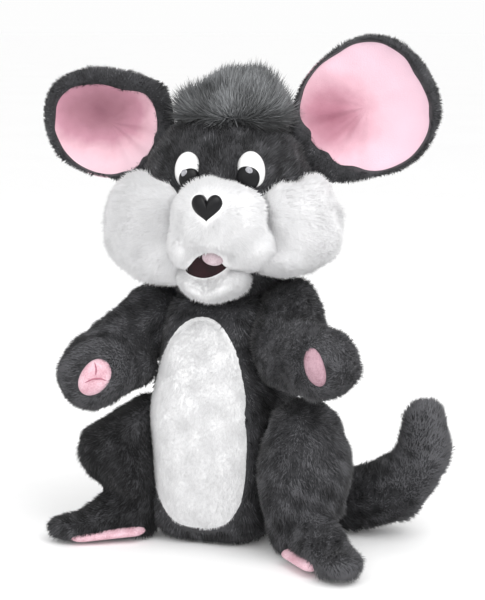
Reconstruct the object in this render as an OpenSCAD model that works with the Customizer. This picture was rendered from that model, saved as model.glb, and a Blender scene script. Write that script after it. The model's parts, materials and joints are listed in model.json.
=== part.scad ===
// Seated wind-up plush mouse. Faces -Y, its own left is +X, and it sits on Z = 0.
// The clockwork in the torso is wound by the key at the back and swings the head.

/* [Torso] */
// Height of the plane between torso and head
neck_z = 126; // [124:1:128]
// Half width of the torso beside the legs
hip_half = 30; // [29:0.5:31]
// Half width of the torso beside the arms
chest_half = 24; // [23.5:0.5:24]
// Thickness of the plush covers
skin_t = 2; // [1.5:0.5:2]

/* [Head] */
// Turn of the head to its own left when it is at rest, in degrees
head_yaw = 12; // [8:1:14]
// Half width of the head without its cheeks
skull_half = 44; // [42:1:46]
// Height of the middle of the head
skull_z = 174; // [172:1:176]
// Height of the middle of the muzzle
muzzle_z = 168; // [166:1:169]
// Size of one ear, half across
ear_half = 36; // [34:1:37]

/* [Arms] */
// Height of the shoulder joints
shoulder_z = 112; // [111:0.5:113]
// Radius of the discs in the shoulder joints
disc_r = 9; // [8:0.5:9.5]

/* [Clockwork] */
// Height of the key and the spring barrel
barrel_z = 36; // [35:0.5:37]
// Tooth module of the barrel and the second pinion
module_1 = 0.8; // [0.8:0.1:0.8]
// Tooth module of the second wheel and the third pinion
module_2 = 0.6; // [0.6:0.1:0.6]
// Tooth module of the third wheel and the fly pinion
module_3 = 0.5; // [0.5:0.1:0.5]
// Teeth on the spring barrel
barrel_teeth = 40; // [40:2:40]
// Teeth on the second wheel
second_teeth = 36; // [36:2:36]
// Teeth on the third wheel
third_teeth = 30; // [30:2:30]
// Teeth on every pinion
pinion_teeth = 10; // [10:1:10]
// Tooth thickness taken off each side of a tooth, so that the train runs free
backlash = 0.06; // [0.05:0.01:0.08]
// Distance of the crank pin from the second arbor
crank_throw = 3; // [2.5:0.1:3]
// Radius of the neck spindle
spindle_r = 2.5; // [2:0.1:2.5]
// Radial clearance of shafts in their holes
fit_gap = 0.05; // [0.03:0.01:0.08]
// Gap between parts that move past each other
run_gap = 0.4; // [0.3:0.05:0.5]

/* [Hidden] */

fur_grey = [0.22, 0.23, 0.25];
tuft_grey = [0.36, 0.37, 0.39];
fur_white = [0.94, 0.93, 0.92];
plush_pink = [0.93, 0.66, 0.70];
eps = 0.01;
round_fn = 64;
soft_fn = 24;
hull_fn = 20;

// Gear train: the axes lie along Y
barrel_axis = [0, barrel_z];
second_axis = barrel_axis + [0, module_1 * (barrel_teeth + pinion_teeth) / 2];
third_turn = 30;
third_axis = second_axis + turned([module_2 * (second_teeth + pinion_teeth) / 2, 0], third_turn);
fly_turn = 140;
fly_axis = third_axis + turned([module_3 * (third_teeth + pinion_teeth) / 2, 0], fly_turn);
tooth_turn = 180 / pinion_teeth;

// Planes of the movement, from front to back
fork_r = 8;
pin_y = fork_r + run_gap;
crank_y = pin_y + 2.2;
crank_t = 1.4;
plate_t = 1.5;
front_y = crank_y + crank_t + 0.6;
inner_y = front_y + plate_t;
wheel_2_y = inner_y + 0.8;
wheel_t = 1.2;
barrel_y = inner_y + 3.4;
barrel_gear_t = 2;
barrel_lid_y = barrel_y + 7.5;
lid_t = 1;
wheel_3_y = barrel_y + 3.5;
fan_y = wheel_3_y + wheel_t + 0.8;
rear_y = barrel_lid_y + lid_t + 0.5;
outer_y = rear_y + plate_t;
ratchet_y = outer_y + run_gap;
ratchet_t = 1.5;
housing_t = 1.8;
housing_back = outer_y + 2.6 + housing_t;
housing_front_y = -(fork_r + 0.8);
housing_split = front_y + 3;
housing_half = 22.4;
housing_low = barrel_z - 20.8;
housing_top = barrel_z + 42.8;
plate_half = 20;
plate_low = housing_low + 2.3;
plate_top = housing_top - 2.3;
pivot_r = 0.8;
arbor_r = 2.5;
pillar_r = 2;
pillar_end_r = 1;
pillar_nut_r = 1.9;
pillar_nut_t = 1.2;
second_pivot_r = 1.5;
pillars = [
    [-17, plate_low + 3], [17, plate_low + 3], [-17, plate_top - 3], [17.2, plate_top - 2.6]
];
key_y = 41.5;
key_lobe_r = 8.5;

// Torso rows: height, half width, front, back, corner radius
torso_rows = [
    [0, hip_half - 8, -28, 28, 13],
    [9, hip_half, -36, 38, 14],
    [70, hip_half, -38, 38, 13],
    [84, chest_half + 1.5, -36, 37.5, 12],
    [98, chest_half, -31, 31, 13],
    [121.5, chest_half, -23, 22, 12],
    [neck_z, chest_half - 5, -18, 17, 12]
];

// A ball stretched to the half sizes h about c
module ellipsoid(c, h, fn = soft_fn) {
    translate(c) scale(h) sphere(r = 1, $fn = fn);
}

// A ball of radius r at p, for hulls
module ball(p, r) {
    translate(p) sphere(r = r, $fn = hull_fn);
}

// A round rod along Y from y0 to y1 at p = [x, z]
module rod_y(p, y0, y1, r) {
    translate([p[0], y1, p[1]]) rotate([90, 0, 0]) cylinder(r = r, h = y1 - y0, $fn = round_fn);
}

// Joins the forms of one soft piece into a single surface
module soft() {
    resize([0, 0, 0]) children();
}

// A flat shape drawn in X and Z, extruded along Y from y0 to y1 at p = [x, z]
module plate_y(p, y0, y1) {
    translate([p[0], y1, p[1]]) rotate([90, 0, 0]) linear_extrude(height = y1 - y0) children();
}

// A round rod along X from x0 to x1 at p = [y, z]
module rod_x(p, x0, x1, r) {
    translate([x0, p[0], p[1]]) rotate([0, 90, 0]) cylinder(r = r, h = x1 - x0, $fn = round_fn);
}

// Left or right copy: side is 1 for the mouse's left, -1 for its right
module mirror_side(side) {
    mirror([side < 0 ? 1 : 0, 0, 0]) children();
}

// Places head parts, drawn facing -Y, at the head's rest angle
module head_place() {
    rotate([0, 0, head_yaw]) children();
}

// ---- Gears ----
function involute(base_r, a) = [
    base_r * (cos(a) + a * PI / 180 * sin(a)),
    base_r * (sin(a) - a * PI / 180 * cos(a))
];
function turned(p, a) = [p[0] * cos(a) - p[1] * sin(a), p[0] * sin(a) + p[1] * cos(a)];
function roll_angle(base_r, r) = r <= base_r ? 0 : sqrt(pow(r / base_r, 2) - 1) * 180 / PI;
function involute_turn(base_r, r) = roll_angle(base_r, r) - acos(min(1, base_r / r));

pressure_angle = 20;
flank_steps = 3;

// Outline of a spur gear with a tooth centred on the X axis
module spur(m, teeth, addendum) {
    pitch_r = m * teeth / 2;
    base_r = pitch_r * cos(pressure_angle);
    tip_r = pitch_r + addendum * m;
    root_r = pitch_r - 1.15 * m;
    half_tooth = 90 / teeth - backlash / pitch_r * 180 / PI;
    flank_start = half_tooth + involute_turn(base_r, pitch_r);
    low_r = max(base_r, root_r + 0.05);
    radii = [for (i = [0:flank_steps]) low_r + (tip_r - low_r) * i / flank_steps];
    rising = [for (r = radii) turned([r, 0], involute_turn(base_r, r) - flank_start)];
    falling = [for (i = [flank_steps:-1:0]) [rising[i][0], -rising[i][1]]];
    root_a = turned([root_r, 0], -flank_start);
    root_b = [root_a[0], -root_a[1]];
    tooth = concat([root_a], rising, falling, [root_b]);
    polygon([for (t = [0:teeth - 1]) for (p = tooth) turned(p, t * 360 / teeth)]);
}

// ---- Torso ----
module torso_form(inset) {
    hull() {
        for (row = torso_rows) {
            level = min(max(row[0], inset), neck_z - inset);
            for (sx = [-1, 1]) {
                for (y = [row[2] + row[4], row[3] - row[4]]) {
                    translate([sx * (row[1] - row[4]), y, level])
                        cylinder(r = row[4] - inset, h = eps, $fn = soft_fn);
                }
            }
        }
    }
}

neck_hole_r = 6;
rivet_hole_r = 4;
key_hole_r = 5.2;
module torso_skin() {
    color(fur_grey)
    difference() {
        torso_form(0);
        torso_form(skin_t);
        translate([0, 0, neck_z - 2 * skin_t]) cylinder(r = neck_hole_r, h = 4 * skin_t, $fn = 12);
        for (side = [-1, 1]) {
            mirror_side(side) translate([chest_half - 2 * skin_t, 0, shoulder_z])
                rotate([0, 90, 0]) cylinder(r = rivet_hole_r, h = 4 * skin_t, $fn = 12);
        }
        translate([0, key_y, barrel_z]) rotate([90, 0, 0]) cylinder(r = key_hole_r, h = 8, $fn = 12);
    }
}

module torso_stuffing() {
    color([0.92, 0.92, 0.90]) soft()
    difference() {
        torso_form(skin_t);
        translate([-housing_half, housing_front_y, housing_low])
            cube([2 * housing_half, housing_back - housing_front_y, housing_top - housing_low]);
        translate([0, 0, housing_top - 1]) cylinder(r = 9.5, h = neck_z, $fn = 12);
        for (side = [-1, 1]) {
            mirror_side(side) translate([chest_half - 6, 0, shoulder_z])
                rotate([0, 90, 0]) cylinder(r = disc_r + 1.5, h = 8, $fn = 12);
        }
        translate([0, key_y, barrel_z]) rotate([90, 0, 0]) cylinder(r = 6.5, h = 14, $fn = 12);
        for (p = screw_spots) {
            translate([p[0], housing_split + 6, p[1]]) rotate([90, 0, 0])
                cylinder(r = 3.2, h = 12, $fn = 12);
        }
    }
}

belly_t = 1.6;
module belly_panel() {
    color(fur_white) soft()
    difference() {
        intersection() {
            translate([0, -belly_t, 0]) torso_form(0);
            translate([-2.5, 0, 63]) scale([27.5, 1, 55]) rotate([90, 0, 0])
                cylinder(r = 1, h = 60, $fn = soft_fn);
        }
        torso_form(0);
    }
}

// ---- Legs: a round haunch and a long foot that points forward and out ----
haunch_l = [[52.5, -25, 41.5], [21, 28, 36], [52.5, -25, 41.5], [21, 28, 36]];
foot_l = [[46, -31, 9], [84, -67, 11.5]];
haunch_r = [[-35, -24, 45.5], [15, 25, 31], [-53, -24, 44.5], [15.5, 21, 17]];
foot_r = [[-33, -30, 8], [-67, -49, 10.5]];

// A haunch is given by two ellipsoids, each as its middle and its half sizes
module leg_form(haunch, foot) {
    intersection() {
        union() {
            hull() {
                ellipsoid(haunch[0], haunch[1], 28);
                ellipsoid(haunch[2], haunch[3], 28);
            }
            hull() {
                ball(foot[0] + [0, 8, 6], 13);
                ball(foot[0], 9);
                ball(foot[1], 10);
            }
        }
        translate([foot[0][0] > 0 ? hip_half : -hip_half - 100, -100, 0]) cube([100, 200, 120]);
    }
}

// The sole is the front and lower side of the foot, behind the toe: part says from where to where
sole_top = 10;
module sole_form(foot, part) {
    step = foot[1] - foot[0];
    along = step / norm(step);
    lean = 3.4 * [-abs(along[1]) * sign(along[0]), -abs(along[0]), -0.2];
    hull() {
        for (t = part) translate(lean) ball(foot[0] + t * step, 8);
    }
}

module sole(foot, haunch, part) {
    color(plush_pink) soft()
    difference() {
        intersection() {
            sole_form(foot, part);
            translate([-100, -100, 0]) cube([200, 200, sole_top]);
            translate([foot[0][0] > 0 ? hip_half : -hip_half - 100, -100, 0]) cube([100, 200, 60]);
        }
        leg_form(haunch, foot);
    }
}

module leg_l() {
    color(fur_grey) soft() leg_form(haunch_l, foot_l);
}

module leg_r() {
    color(fur_grey) soft() leg_form(haunch_r, foot_r);
}

module sole_l() {
    sole(foot_l, haunch_l, [0.35, 0.6]);
}

module sole_r() {
    sole(foot_r, haunch_r, [0.05, 0.88]);
}

// Tail: points along its middle and its radius there
tail_points = [
    [26, 24, 15, 12], [44, 22, 15.5, 14], [64, 20, 16.5, 15.5], [84, 19, 23, 16],
    [98, 17, 36, 15], [104, 15, 51, 13], [104.5, 14, 64, 9.5]
];

module tail() {
    color(fur_grey) soft()
    difference() {
        for (i = [0:len(tail_points) - 2]) {
            hull() {
                for (p = [tail_points[i], tail_points[i + 1]]) {
                    ball([p[0], p[1], p[2]], p[3]);
                }
            }
        }
        torso_form(0);
    }
}

// ---- Movement frame ----
module housing_box(y0, y1, inset) {
    translate([-housing_half + inset, y0, housing_low + inset])
        cube([2 * (housing_half - inset), y1 - y0, housing_top - housing_low - 2 * inset]);
}

screw_x = housing_half + 2.4;
screw_r = 1;
screw_hole_r = 1.3;
screw_head_r = 2.1;
screw_head_t = 1.4;
boss_r = 2.8;
boss_front_t = 5;
boss_rear_t = 4;
screw_spots = [for (sx = [-1, 1]) for (z = [housing_low + 6, housing_top - 20]) [sx * screw_x, z]];
module screw_ears(y0, y1) {
    for (p = screw_spots) {
        rod_y(p, y0, y1, boss_r);
    }
}

module housing_front() {
    color([0.86, 0.85, 0.80])
    difference() {
        union() {
            housing_box(housing_front_y, housing_split, 0);
            screw_ears(housing_split - boss_front_t, housing_split);
        }
        housing_box(housing_front_y + housing_t, housing_split + 1, housing_t);
        translate([0, 0, housing_top - 4]) cylinder(r = spindle_r + run_gap, h = 8, $fn = round_fn);
        for (p = screw_spots) {
            rod_y(p, housing_split - boss_front_t - 1, housing_split + 1, screw_r);
        }
    }
}

module housing_rear() {
    color([0.86, 0.85, 0.80])
    difference() {
        union() {
            housing_box(housing_split, housing_back, 0);
            screw_ears(housing_split, housing_split + boss_rear_t);
        }
        housing_box(housing_split - 1, housing_back - housing_t, housing_t);
        rod_y(barrel_axis, housing_back - 4, housing_back + 1, arbor_r + run_gap);
        for (p = screw_spots) {
            rod_y(p, housing_split - 1, housing_split + boss_rear_t + 1, screw_hole_r);
        }
    }
}

module housing_screws() {
    color("silver")
    for (p = screw_spots) {
        rod_y(p, housing_split - boss_front_t + 0.5, housing_split + boss_rear_t, screw_r);
        rod_y(p, housing_split + boss_rear_t, housing_split + boss_rear_t + screw_head_t, screw_head_r);
    }
}

module train_plate(y0, y1, centre_r) {
    color([0.80, 0.66, 0.35])
    difference() {
        translate([-plate_half, y0, plate_low])
            cube([2 * plate_half, y1 - y0, plate_top - plate_low]);
        rod_y(barrel_axis, y0 - 1, y1 + 1, centre_r);
        for (p = [third_axis, fly_axis]) {
            rod_y(p, y0 - 1, y1 + 1, pivot_r + fit_gap);
        }
        rod_y(second_axis, y0 - 1, y1 + 1, second_pivot_r + fit_gap);
        for (p = pillars) {
            rod_y(p, y0 - 1, y1 + 1, pillar_end_r);
        }
    }
}

module front_plate() {
    train_plate(front_y, inner_y, arbor_r - 1 + fit_gap);
}

module rear_plate() {
    difference() {
        train_plate(rear_y, outer_y, arbor_r + fit_gap);
        rod_y(click_pivot, rear_y - 1, outer_y + 1, click_pin_r);
    }
}

module plate_pillars() {
    color([0.72, 0.58, 0.30])
    for (p = pillars) {
        rod_y(p, inner_y, rear_y, pillar_r);
        rod_y(p, front_y - 1, outer_y + 1, pillar_end_r);
        rod_y(p, outer_y, outer_y + pillar_nut_t, pillar_nut_r);
        rod_y(p, front_y - pillar_nut_t, front_y, pillar_nut_r);
    }
    color("silver") rod_y(click_pivot, rear_y, outer_y + 2.3, click_pin_r);
}

bearing_flange_r = 8.4;
bearing_flange_t = 1.6;
bearing_r = 5;
bearing_h = 36;
module neck_bearing() {
    color([0.93, 0.92, 0.88])
    difference() {
        union() {
            translate([0, 0, housing_top])
                cylinder(r = bearing_flange_r, h = bearing_flange_t, $fn = round_fn);
            translate([0, 0, housing_top]) cylinder(r = bearing_r, h = bearing_h, $fn = round_fn);
        }
        translate([0, 0, housing_top - 1])
            cylinder(r = spindle_r + fit_gap, h = bearing_h + 4, $fn = round_fn);
    }
}

// ---- Shoulder joints: a disc inside the torso, a disc and rivet inside the arm ----
rivet_r = 2.2;
rivet_head_r = 3.6;
disc_t = 1.6;
module shoulder_disc(side) {
    color([0.93, 0.92, 0.88])
    mirror_side(side) difference() {
        rod_x([0, shoulder_z], chest_half - skin_t - disc_t, chest_half - skin_t, disc_r);
        rod_x([0, shoulder_z], chest_half - skin_t - 3, chest_half, rivet_r + fit_gap);
    }
}

module shoulder_disc_l() {
    shoulder_disc(1);
}

module shoulder_disc_r() {
    shoulder_disc(-1);
}

arm_x = chest_half + run_gap;
module arm_disc(side) {
    color([0.93, 0.92, 0.88])
    mirror_side(side) {
        rod_x([0, shoulder_z], arm_x + 2, arm_x + 4, disc_r);
        rod_x([0, shoulder_z], chest_half - skin_t - 2.2, arm_x + 2, rivet_r);
        rod_x([0, shoulder_z], chest_half - skin_t - 3.4, chest_half - skin_t - 1.9, rivet_head_r);
    }
}

module arm_disc_l() {
    arm_disc(1);
}

module arm_disc_r() {
    arm_disc(-1);
}

// The torso as the arm meets it while it lifts
arm_lift = 25;
module torso_clear() {
    for (a = [0, arm_lift / 2, arm_lift]) {
        translate([0, 0, shoulder_z]) rotate([a, 0, 0]) translate([0, 0, -shoulder_z])
            torso_form(-run_gap - 0.1);
    }
}

// Arm joints: place and radius of shoulder, elbow and paw, and of the right paw's cuff
arm_l_points = [[36, -3, 111.5, 17.5], [43, -23, 102, 18], [67, -43, 100, 16.5]];
arm_r_points = [
    [-34, -1, 112, 16.5], [-46, -18, 103, 15.5], [-59, -41, 86, 16.5], [-41, -28, 92, 13]
];

module arm_form(points) {
    difference() {
        for (i = [0:len(points) - 2]) {
            hull() {
                for (p = [points[i], points[i + 1]]) {
                    ball([p[0], p[1], p[2]], p[3]);
                }
            }
        }
        translate([points[0][0] > 0 ? -100 + arm_x : -arm_x, -100, 0]) cube([100, 200, 200]);
        torso_clear();
    }
}

module arm_body(points, side) {
    color(fur_grey) soft()
    difference() {
        arm_form(points);
        mirror_side(side) translate([arm_x + 2, 0, shoulder_z]) rotate([0, 90, 0])
            cylinder(r = disc_r + 0.6, h = 2, $fn = 12);
        mirror_side(side) translate([arm_x - 1, 0, shoulder_z]) rotate([0, 90, 0])
            cylinder(r = rivet_r + 0.6, h = 4, $fn = 12);
    }
}

module arm_l() {
    arm_body(arm_l_points, 1);
}

module arm_r() {
    arm_body(arm_r_points, -1);
}

// A palm is an oval pad: turn points it round the paw and tilt leans its top sideways
module palm(points, half, turn, tilt) {
    paw = points[2];
    color(plush_pink) soft()
    difference() {
        translate([paw[0], paw[1], paw[2]]) rotate([0, 0, turn])
            translate([0, -paw[3] + 1.4, 1.5]) rotate([0, tilt, 0]) ellipsoid([0, 0, 0], half);
        arm_form(points);
    }
}

module palm_l() {
    palm(arm_l_points, [5.4, 2.6, 10.5], 2, -18);
}

module palm_r() {
    palm(arm_r_points, [7.6, 2.6, 10.5], 36, 35);
}

// ---- Winding: key, arbor, ratchet wheel and click ----
grommet_r = 4.6;
grommet_flange_r = 6.6;
module key_grommet() {
    color("dimgray")
    difference() {
        union() {
            rod_y(barrel_axis, housing_back + 0.4, key_y - 2.9, grommet_r);
            rod_y(barrel_axis, key_y - 3.3, key_y - 1.9, grommet_flange_r);
        }
        rod_y(barrel_axis, housing_back, key_y - 0.5, arbor_r + run_gap);
    }
}

key_wing_t = 2.4;
key_hub_r = 3.6;
key_eye_r = 3.4;
lobe_y = key_y + 9.5;
module winding_key() {
    color("silver")
    difference() {
        union() {
            rod_y(barrel_axis, key_y - 1.2, key_y + 11, key_hub_r);
            for (sx = [-1, 1]) {
                translate([sx * key_lobe_r, lobe_y, barrel_z - key_wing_t / 2])
                    cylinder(r = key_lobe_r, h = key_wing_t, $fn = round_fn);
            }
            translate([-key_lobe_r, key_y + 4, barrel_z - key_wing_t / 2])
                cube([2 * key_lobe_r, 10, key_wing_t]);
        }
        for (sx = [-1, 1]) {
            translate([sx * (key_lobe_r + 1), lobe_y, barrel_z - key_wing_t])
                cylinder(r = key_eye_r, h = 2 * key_wing_t, $fn = round_fn);
        }
        rod_y(barrel_axis, key_y - 2, key_y + 6, arbor_r);
    }
}

module winding_arbor() {
    color("gray") {
        rod_y(barrel_axis, front_y, barrel_y - 0.4, arbor_r - 1);
        rod_y(barrel_axis, barrel_y - 0.4, key_y + 6, arbor_r);
        rod_y(barrel_axis, barrel_y + barrel_gear_t + 0.3, barrel_lid_y - 0.3, arbor_r + 0.7);
    }
}

ratchet_teeth = 12;
ratchet_r = 7;
ratchet_step = 360 / ratchet_teeth;
module ratchet_wheel() {
    color("gray")
    difference() {
        plate_y(barrel_axis, ratchet_y, ratchet_y + ratchet_t)
            polygon([
                for (t = [0:ratchet_teeth - 1])
                    for (p = [[ratchet_r, 0], [ratchet_r - 1.6, ratchet_step * 0.1]])
                        turned([p[0], 0], t * ratchet_step - p[1])
            ]);
        rod_y(barrel_axis, ratchet_y - 1, ratchet_y + ratchet_t + 1, arbor_r);
    }
}

click_pivot = barrel_axis + [11.5, 6];
click_pin_r = 1;
click_hub_r = 2.4;
module click() {
    nose_angle = 12;
    tip = turned([ratchet_r - 0.9, 0], nose_angle);
    color("gray")
    difference() {
        union() {
            rod_y(click_pivot, ratchet_y, ratchet_y + ratchet_t, click_hub_r);
            plate_y(barrel_axis, ratchet_y, ratchet_y + ratchet_t)
                polygon([
                    tip, click_pivot - barrel_axis + [1.2, -2],
                    click_pivot - barrel_axis + [-0.4, 2.3], tip + [0.5, 1.6]
                ]);
        }
        rod_y(click_pivot, ratchet_y - 1, ratchet_y + ratchet_t + 1, click_pin_r + fit_gap);
    }
}

// ---- Going train ----
drum_r = 13;
drum_wall = 1;
module spring_barrel() {
    color([0.80, 0.66, 0.35])
    difference() {
        union() {
            plate_y(barrel_axis, barrel_y, barrel_y + barrel_gear_t)
                rotate(90) spur(module_1, barrel_teeth, 0.8);
            rod_y(barrel_axis, barrel_y, barrel_lid_y, drum_r);
        }
        rod_y(barrel_axis, barrel_y + barrel_gear_t, barrel_lid_y + 1, drum_r - drum_wall);
        rod_y(barrel_axis, barrel_y - 1, barrel_lid_y, arbor_r + fit_gap);
    }
}

module barrel_lid() {
    color([0.75, 0.62, 0.33])
    difference() {
        rod_y(barrel_axis, barrel_lid_y, barrel_lid_y + lid_t, drum_r);
        rod_y(barrel_axis, barrel_lid_y - 1, barrel_lid_y + lid_t + 1, arbor_r + fit_gap);
    }
}

spring_turns = 4;
spring_in = 3.8;
spring_out = 11.4;
spring_t = 0.5;
function spring_at(a) = spring_in + (spring_out - spring_in) * a / (360 * spring_turns);
module mainspring() {
    angles = [for (a = [0:15:360 * spring_turns]) a];
    inner = [for (a = angles) turned([spring_at(a), 0], a)];
    outer = [for (i = [len(angles) - 1:-1:0]) turned([spring_at(angles[i]) + spring_t, 0], angles[i])];
    color("slategray")
    plate_y(barrel_axis, barrel_y + barrel_gear_t + 0.4, barrel_lid_y - 0.4)
        polygon(concat(inner, outer));
}

module second_arbor() {
    color("gray") {
        rod_y(second_axis, crank_y, inner_y + 0.4, second_pivot_r);
        rod_y(second_axis, inner_y + 0.4, rear_y - 0.4, 2);
        rod_y(second_axis, rear_y - 0.4, outer_y, second_pivot_r);
        plate_y(second_axis, barrel_y - 0.3, barrel_y + barrel_gear_t + 0.3)
            rotate(270 + tooth_turn) spur(module_1, pinion_teeth, 0.8);
    }
}

module spoked_wheel(p, y0, m, teeth, hub_r, rim, turn) {
    root_r = m * teeth / 2 - 1.15 * m;
    difference() {
        plate_y(p, y0, y0 + wheel_t) rotate(turn) spur(m, teeth, 0.8);
        rod_y(p, y0 - 1, y0 + wheel_t + 1, hub_r);
        for (a = [45:90:315]) {
            plate_y(p, y0 - 1, y0 + wheel_t + 1)
                polygon([
                    turned([hub_r + 1.6, 0], a - 18), turned([root_r - rim, 0], a - 30),
                    turned([root_r - rim, 0], a), turned([root_r - rim, 0], a + 30),
                    turned([hub_r + 1.6, 0], a + 18)
                ]);
        }
    }
}

module second_wheel() {
    color([0.80, 0.66, 0.35])
    spoked_wheel(second_axis, wheel_2_y, module_2, second_teeth, 2, 1.4, third_turn);
}

crank_r = 5;
crank_pin_r = 1;
module crank_disc() {
    color("silver") {
        difference() {
            rod_y(second_axis, crank_y, crank_y + crank_t, crank_r);
            rod_y(second_axis, crank_y - 1, crank_y + crank_t + 1, second_pivot_r);
        }
        rod_y(second_axis + [crank_throw, 0], pin_y, crank_y, crank_pin_r);
    }
}

third_arbor_r = 1.2;
module third_arbor() {
    color("gray") {
        rod_y(third_axis, front_y, outer_y, pivot_r);
        rod_y(third_axis, inner_y + 0.3, rear_y - 0.3, third_arbor_r);
        plate_y(third_axis, wheel_2_y - 0.3, wheel_2_y + wheel_t + 0.3)
            rotate(third_turn + 180 + tooth_turn) spur(module_2, pinion_teeth, 0.8);
    }
}

module third_wheel() {
    color([0.80, 0.66, 0.35])
    spoked_wheel(third_axis, wheel_3_y, module_3, third_teeth, third_arbor_r, 1.1,
        fly_turn + 180 / third_teeth);
}

fly_arbor_r = 1.1;
module fly_arbor() {
    color("gray") {
        rod_y(fly_axis, front_y, outer_y, pivot_r);
        rod_y(fly_axis, inner_y + 0.3, rear_y - 0.3, fly_arbor_r);
        plate_y(fly_axis, wheel_3_y - 0.3, wheel_3_y + wheel_t + 0.3)
            rotate(fly_turn + 180) spur(module_3, pinion_teeth, 0.8);
    }
}

fan_r = 5.4;
fan_t = 0.6;
fan_hub_r = 2;
module fly_fan() {
    color("silver")
    difference() {
        union() {
            rod_y(fly_axis, fan_y, rear_y - 0.6, fan_hub_r);
            translate([fly_axis[0] - fan_r, fan_y, fly_axis[1] - fan_t / 2])
                cube([2 * fan_r, rear_y - 0.6 - fan_y, fan_t]);
        }
        rod_y(fly_axis, fan_y - 1, rear_y, fly_arbor_r);
    }
}

// ---- Neck ----
fork_half_h = 6;
fork_z = second_axis[1];
module neck_spindle() {
    color("silver") {
        translate([0, 0, fork_z - fork_half_h]) cylinder(r = spindle_r, h = 90, $fn = round_fn);
        translate([0, 0, housing_top + bearing_h + 0.3])
            cylinder(r = bearing_r, h = 2, $fn = round_fn);
    }
}

module head_fork() {
    color([0.93, 0.92, 0.88])
    difference() {
        intersection() {
            translate([0, 0, fork_z - fork_half_h])
                cylinder(r = fork_r, h = 2 * fork_half_h, $fn = round_fn);
            translate([-4, -4, fork_z - fork_half_h]) cube([8, 14, 2 * fork_half_h]);
        }
        translate([0, 0, fork_z - 20]) cylinder(r = spindle_r, h = 40, $fn = round_fn);
        translate([-1.2, spindle_r + 1.5, fork_z - 20]) cube([2.4, 10, 40]);
    }
}

core_r = 18;
core_hub_r = 6;
core_hub_h = 14;
head_z = neck_z + run_gap;
module head_core() {
    color([0.93, 0.92, 0.88])
    difference() {
        union() {
            translate([0, 0, head_z + skin_t]) cylinder(r = core_r, h = 2.4, $fn = round_fn);
            translate([0, 0, head_z + skin_t])
                cylinder(r = core_hub_r, h = core_hub_h, $fn = round_fn);
        }
        translate([0, 0, neck_z]) cylinder(r = spindle_r, h = 40, $fn = round_fn);
    }
}

// ---- Head ----
skull_c = [2, 0, skull_z];
skull_h = [skull_half, 42, 48];
module skull(inset) {
    hull() {
        ellipsoid(skull_c, skull_h - [inset, inset, inset], 28);
        translate([0, 0, head_z + inset]) cylinder(r = 22 - inset, h = 4, $fn = soft_fn);
    }
}

module skull_cut(inset) {
    intersection() {
        skull(inset);
        translate([-60, -60, head_z + inset]) cube([120, 120, 120]);
    }
}

module head_skin() {
    color(fur_grey) head_place() soft()
    difference() {
        skull_cut(0);
        skull_cut(skin_t);
        translate([0, 0, neck_z]) cylinder(r = neck_hole_r, h = 8, $fn = 12);
    }
}

module head_stuffing() {
    color([0.92, 0.92, 0.90]) head_place() soft()
    difference() {
        skull_cut(skin_t);
        translate([0, 0, neck_z]) cylinder(r = core_r + 1, h = 4.8 + skin_t, $fn = 12);
        translate([0, 0, neck_z]) cylinder(r = core_hub_r + 1, h = core_hub_h + 12, $fn = 12);
    }
}

muzzle_c = [0.5, -36.5, muzzle_z];
muzzle_h = [27.5, 23, 21.5];
module muzzle_solid() {
    ellipsoid(muzzle_c, muzzle_h, 28);
}

module muzzle() {
    color(fur_white) head_place() soft()
    difference() {
        muzzle_solid();
        skull(0);
    }
}

chin_c = [-1, -32, muzzle_z - 29];
module chin_solid() {
    ellipsoid(chin_c, [17.5, 16, 10.8]);
}

module chin() {
    color(fur_white) head_place() soft()
    difference() {
        chin_solid();
        skull(0);
        muzzle_solid();
    }
}

cheek_c = [43, -8, 158];
module cheek_solid(side) {
    mirror_side(side) hull() {
        ellipsoid(cheek_c + [1, 0, 4], [21, 23, 25]);
        ellipsoid(cheek_c + [-12, -13, -7], [20, 20, 20]);
        ellipsoid(cheek_c + [-16, -16, 13], [15, 17, 17.5]);
    }
}

module cheek(side) {
    color(fur_white) head_place() soft()
    difference() {
        cheek_solid(side);
        skull(0);
        muzzle_solid();
        chin_solid();
    }
}

module cheek_l() {
    cheek(1);
}

module cheek_r() {
    cheek(-1);
}

module mouth_lining() {
    color([0.30, 0.05, 0.08]) head_place() soft()
    difference() {
        ellipsoid([0, -37, muzzle_z - 20], [10, 14, 6]);
        skull(0);
        muzzle_solid();
        chin_solid();
    }
}

module nose() {
    color([0.03, 0.03, 0.04]) head_place() soft()
    difference() {
        hull() {
            for (sx = [-1, 1]) {
                ball([sx * 3.5, -57.5, muzzle_z + 10.5], 4.2);
            }
            ball([0, -58.5, muzzle_z + 3], 1.8);
        }
        muzzle_solid();
    }
}

eye_c = [15.3, -35.5, 192];
eye_shift = [2.5, 0, 0];
eye_h = [7.6, 5.5, 10];
module eye_solid(side) {
    translate(eye_shift) mirror_side(side) ellipsoid(eye_c, eye_h);
}

module eye(side) {
    color("white") head_place() soft()
    difference() {
        eye_solid(side);
        skull(0);
        muzzle_solid();
    }
}

module eye_l() {
    eye(1);
}

module eye_r() {
    eye(-1);
}

module pupil(side) {
    color([0.03, 0.03, 0.04]) head_place() soft()
    difference() {
        translate(eye_shift) mirror_side(side)
            ellipsoid(eye_c + [-1, -3.6, -4], [4.6, 3, 5.4], 20);
        eye_solid(side);
        skull(0);
        muzzle_solid();
    }
}

module pupil_l() {
    pupil(1);
}

module pupil_r() {
    pupil(-1);
}

// Ears: middle and half sizes, and the root where they meet the head
ear_l_c = [73, 4, 222];
ear_l_h = [ear_half, 9, ear_half];
ear_l_root = [38, 3, 203];
ear_r_c = [-63, 6, 213];
ear_r_h = [ear_half - 1, 9, ear_half - 6];
ear_r_root = [-32, 3, 201];
ear_lining_t = 1.5;

module ear_blank(c, h, root) {
    hull() {
        ellipsoid(c, h);
        ball(root, 9);
    }
}

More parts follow.
